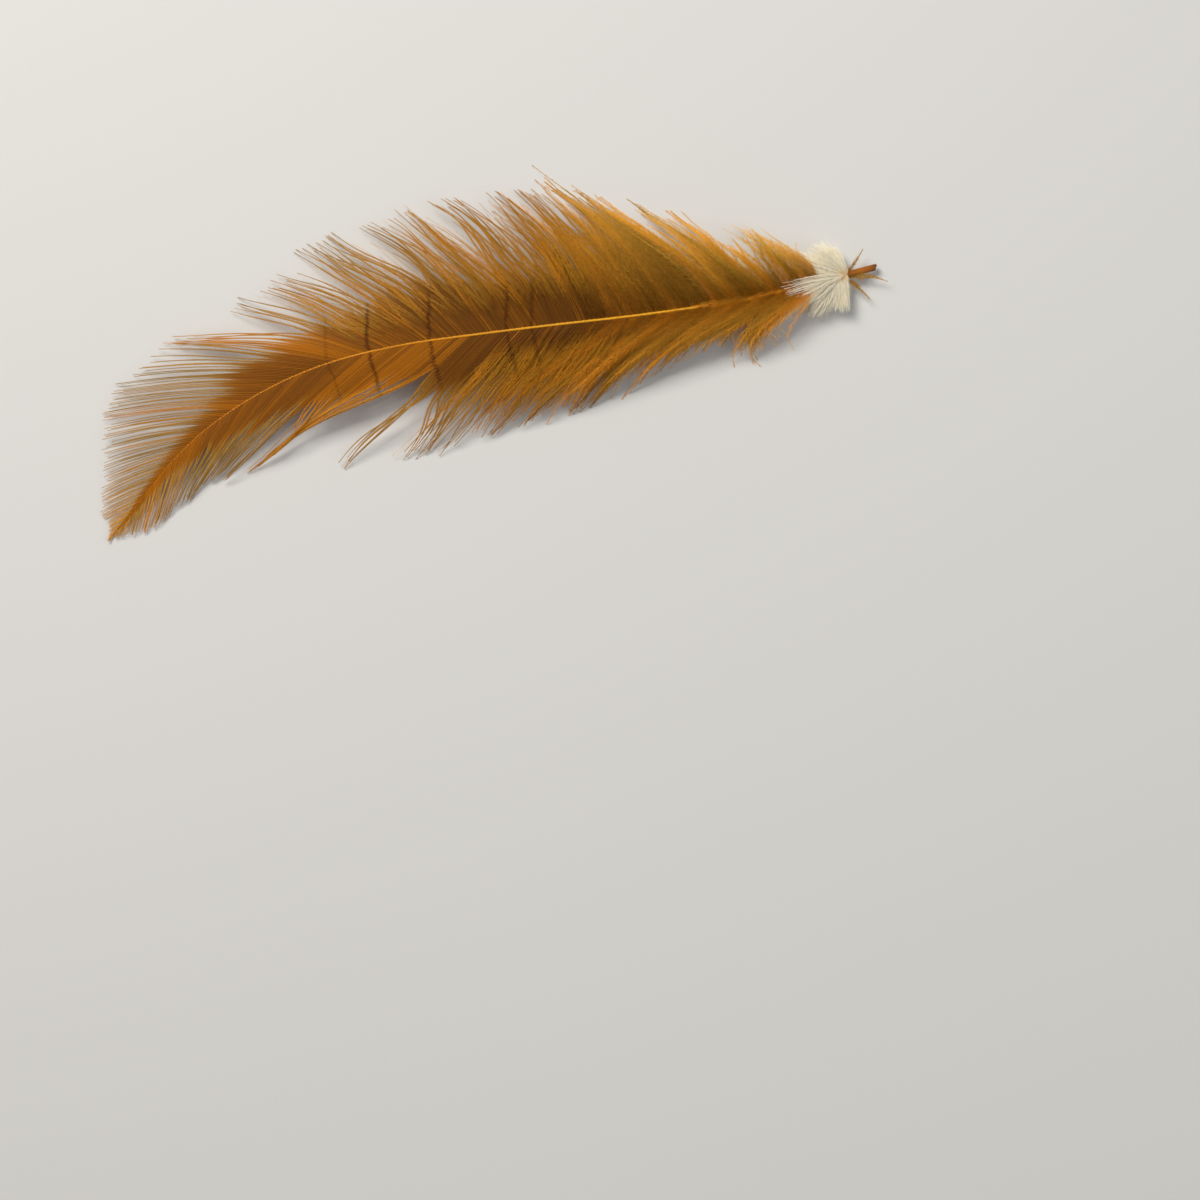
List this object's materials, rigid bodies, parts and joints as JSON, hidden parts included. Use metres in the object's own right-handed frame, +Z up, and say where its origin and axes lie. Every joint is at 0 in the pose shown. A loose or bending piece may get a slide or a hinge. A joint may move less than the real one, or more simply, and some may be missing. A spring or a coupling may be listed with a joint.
{
  "type": "neck hackle feather",
  "caption": "Curved rooster neck hackle feather with clumped free barbs, growth bars, a downy base and a pale tuft at a bare quill, lying flat.",
  "frame": {"origin": "middle of the feather's footprint, on the surface that it lies on", "axes": "+X from the tip to the quill along the chord, +Y towards the wider vane outside the curve, +Z up from the surface, on the feather's convex side"},
  "size_m": [0.1244, 0.0398, 0.0064],
  "materials": {
    "feather": "brown keratin barbs with a soft satin sheen, golden at the shaft and the base"
  },
  "bodies": {
    "root": {"feather": "feather"}
  },
  "joints": []
}
